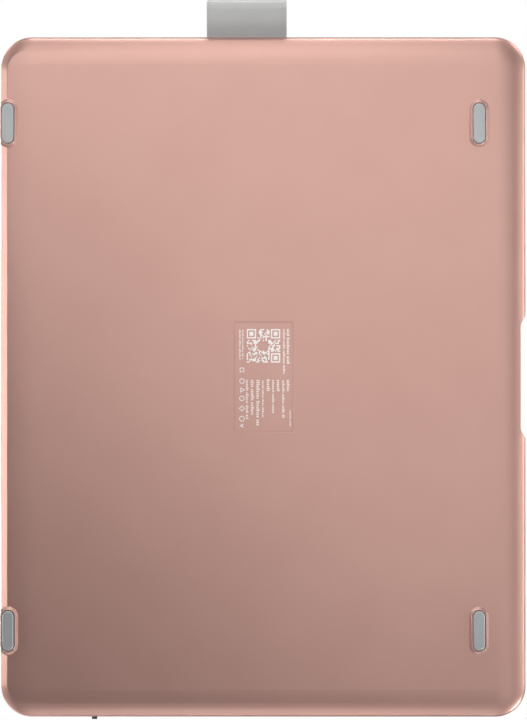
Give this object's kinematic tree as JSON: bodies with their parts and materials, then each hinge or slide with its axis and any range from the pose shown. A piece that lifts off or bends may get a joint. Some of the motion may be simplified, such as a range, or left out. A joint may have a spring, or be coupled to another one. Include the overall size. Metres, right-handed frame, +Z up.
{
  "type": "tablet keyboard case",
  "caption": "Clamshell keyboard case for a large thin tablet: rose-gold pillow-edged shells on a two-axis hinge, rubber feet, thumb notch, pencil loop, keyboard and trackpad inside",
  "frame": {"origin": "under the middle of the whole closed case, pencil loop and switch knob included, on the plane that its rubber feet stand on", "axes": "+X is the typist's right and the long way of the case, +Y points to the hinge side, +Z is up through the closed case and its thinnest way"},
  "size_m": [0.3024, 0.22, 0.0188],
  "materials": {
    "bottom_shell": "satin rose-gold paint on ABS",
    "deck": "satin rose-gold paint on ABS",
    "cover_shell": "satin rose-gold paint on ABS",
    "foot_rubber": "light grey silicone, semi-matte",
    "label": "thin film with pale print",
    "key_plastic": "satin white ABS",
    "trackpad": "smooth, slightly glossy",
    "dome_rubber": "translucent silicone",
    "light_film": "clear light guide film",
    "plate_steel": "cold rolled sheet",
    "circuit_board": "solder-masked glass epoxy",
    "cell_wrap": "foil pouch",
    "ribbon": "polyimide film",
    "socket_steel": "drawn steel shell",
    "switch_plastic": "dark grey acetal",
    "magnet": "nickel plated",
    "light_pipe": "clear acrylic",
    "loop_rubber": "smooth grey elastomer",
    "hinge_steel": "plain steel",
    "screw_steel": "zinc plated",
    "lining_fabric": "short microfibre",
    "bumper_rubber": "soft rubber"
  },
  "bodies": {
    "base": {"bottom_shell": "bottom_shell", "deck": "deck", "foot_front_left": "foot_rubber", "foot_front_right": "foot_rubber", "foot_rear_left": "foot_rubber", "foot_rear_right": "foot_rubber", "label": "label", "case_screws": "screw_steel", "dome_sheet": "dome_rubber", "backlight_sheet": "light_film", "key_support_plate": "plate_steel", "trackpad_board": "circuit_board", "battery_cell_left": "cell_wrap", "battery_cell_right": "cell_wrap", "main_board": "circuit_board", "ribbon_cables": "ribbon", "charging_socket": "socket_steel", "power_switch_body": "switch_plastic", "base_magnets": "magnet", "status_light_pipes": "light_pipe", "pencil_loop": "loop_rubber", "loop_rod": "hinge_steel", "base_hinge_bracket_left": "hinge_steel", "base_hinge_bracket_right": "hinge_steel", "lower_hinge_pin_left": "hinge_steel", "lower_hinge_pin_right": "hinge_steel", "base_hinge_screws": "screw_steel"},
    "hinge_links": {"hinge_link_left": "hinge_steel", "hinge_link_right": "hinge_steel", "friction_washers": "hinge_steel"},
    "lid": {"cover_shell": "cover_shell", "lining": "lining_fabric", "lid_bumpers": "bumper_rubber", "lid_hinge_bracket_left": "hinge_steel", "lid_hinge_bracket_right": "hinge_steel", "upper_hinge_pin_left": "hinge_steel", "upper_hinge_pin_right": "hinge_steel", "lid_hinge_screws": "screw_steel"},
    "trackpad_plate": {"trackpad": "trackpad"},
    "power_knob": {"power_switch_knob": "switch_plastic"},
    "function_row": {"function_row_keys": "key_plastic"},
    "number_row": {"number_row_keys": "key_plastic"},
    "delete": {"delete_key": "key_plastic"},
    "tab": {"tab_key": "key_plastic"},
    "upper_letter": {"upper_letter_keys": "key_plastic"},
    "caps_lock": {"caps_lock_key": "key_plastic"},
    "home_row": {"home_row_keys": "key_plastic"},
    "return": {"return_key": "key_plastic"},
    "left_shift": {"left_shift_key": "key_plastic"},
    "lower_letter": {"lower_letter_keys": "key_plastic"},
    "right_shift": {"right_shift_key": "key_plastic"},
    "left_modifier": {"left_modifier_keys": "key_plastic"},
    "space_bar": {"space_bar": "key_plastic"},
    "right_modifier": {"right_modifier_keys": "key_plastic"},
    "left_arrow": {"left_arrow_key": "key_plastic"},
    "up_arrow": {"up_arrow_key": "key_plastic"},
    "down_arrow": {"down_arrow_key": "key_plastic"},
    "right_arrow": {"right_arrow_key": "key_plastic"}
  },
  "joints": [
    {"name": "link_on_base", "type": "hinge", "parent": "base", "child": "hinge_links", "pos_m": [0.008, 0.1081, 0.0042], "axis": [-1, 0, 0], "range_deg": [0, 67.5]},
    {"name": "lid_on_link", "type": "hinge", "parent": "hinge_links", "child": "lid", "pos_m": [0.008, 0.1081, 0.0114], "axis": [-1, 0, 0], "range_deg": [0, 67.5]},
    {"name": "trackpad_click", "type": "slide", "parent": "base", "child": "trackpad_plate", "axis": [0, 0, -1], "range_m": [0, 0.0004], "stiffness_N_per_m": 2500, "springref_m": -0.0002},
    {"name": "power_slide", "type": "slide", "parent": "base", "child": "power_knob", "axis": [0, 1, 0], "range_m": [0, 0.002]},
    {"name": "function_row_press", "type": "slide", "parent": "base", "child": "function_row", "axis": [0, 0, -1], "range_m": [0, 0.0012], "stiffness_N_per_m": 7000, "springref_m": -0.0004},
    {"name": "number_row_press", "type": "slide", "parent": "base", "child": "number_row", "axis": [0, 0, -1], "range_m": [0, 0.0012], "stiffness_N_per_m": 6500, "springref_m": -0.0004},
    {"name": "delete_press", "type": "slide", "parent": "base", "child": "delete", "axis": [0, 0, -1], "range_m": [0, 0.0012], "stiffness_N_per_m": 500, "springref_m": -0.0004},
    {"name": "tab_press", "type": "slide", "parent": "base", "child": "tab", "axis": [0, 0, -1], "range_m": [0, 0.0012], "stiffness_N_per_m": 500, "springref_m": -0.0004},
    {"name": "upper_letter_press", "type": "slide", "parent": "base", "child": "upper_letter", "axis": [0, 0, -1], "range_m": [0, 0.0012], "stiffness_N_per_m": 6500, "springref_m": -0.0004},
    {"name": "caps_lock_press", "type": "slide", "parent": "base", "child": "caps_lock", "axis": [0, 0, -1], "range_m": [0, 0.0012], "stiffness_N_per_m": 500, "springref_m": -0.0004},
    {"name": "home_row_press", "type": "slide", "parent": "base", "child": "home_row", "axis": [0, 0, -1], "range_m": [0, 0.0012], "stiffness_N_per_m": 5500, "springref_m": -0.0004},
    {"name": "return_press", "type": "slide", "parent": "base", "child": "return", "axis": [0, 0, -1], "range_m": [0, 0.0012], "stiffness_N_per_m": 500, "springref_m": -0.0004},
    {"name": "left_shift_press", "type": "slide", "parent": "base", "child": "left_shift", "axis": [0, 0, -1], "range_m": [0, 0.0012], "stiffness_N_per_m": 500, "springref_m": -0.0004},
    {"name": "lower_letter_press", "type": "slide", "parent": "base", "child": "lower_letter", "axis": [0, 0, -1], "range_m": [0, 0.0012], "stiffness_N_per_m": 5000, "springref_m": -0.0004},
    {"name": "right_shift_press", "type": "slide", "parent": "base", "child": "right_shift", "axis": [0, 0, -1], "range_m": [0, 0.0012], "stiffness_N_per_m": 500, "springref_m": -0.0004},
    {"name": "left_modifier_press", "type": "slide", "parent": "base", "child": "left_modifier", "axis": [0, 0, -1], "range_m": [0, 0.0012], "stiffness_N_per_m": 2000, "springref_m": -0.0004},
    {"name": "space_bar_press", "type": "slide", "parent": "base", "child": "space_bar", "axis": [0, 0, -1], "range_m": [0, 0.0012], "stiffness_N_per_m": 500, "springref_m": -0.0004},
    {"name": "right_modifier_press", "type": "slide", "parent": "base", "child": "right_modifier", "axis": [0, 0, -1], "range_m": [0, 0.0012], "stiffness_N_per_m": 1000, "springref_m": -0.0004},
    {"name": "left_arrow_press", "type": "slide", "parent": "base", "child": "left_arrow", "axis": [0, 0, -1], "range_m": [0, 0.0012], "stiffness_N_per_m": 500, "springref_m": -0.0004},
    {"name": "up_arrow_press", "type": "slide", "parent": "base", "child": "up_arrow", "axis": [0, 0, -1], "range_m": [0, 0.0012], "stiffness_N_per_m": 500, "springref_m": -0.0004},
    {"name": "down_arrow_press", "type": "slide", "parent": "base", "child": "down_arrow", "axis": [0, 0, -1], "range_m": [0, 0.0012], "stiffness_N_per_m": 500, "springref_m": -0.0004},
    {"name": "right_arrow_press", "type": "slide", "parent": "base", "child": "right_arrow", "axis": [0, 0, -1], "range_m": [0, 0.0012], "stiffness_N_per_m": 500, "springref_m": -0.0004}
  ],
  "couplings": [
    {"joint": "lid_on_link", "follows": "link_on_base", "ratio": 1}
  ]
}
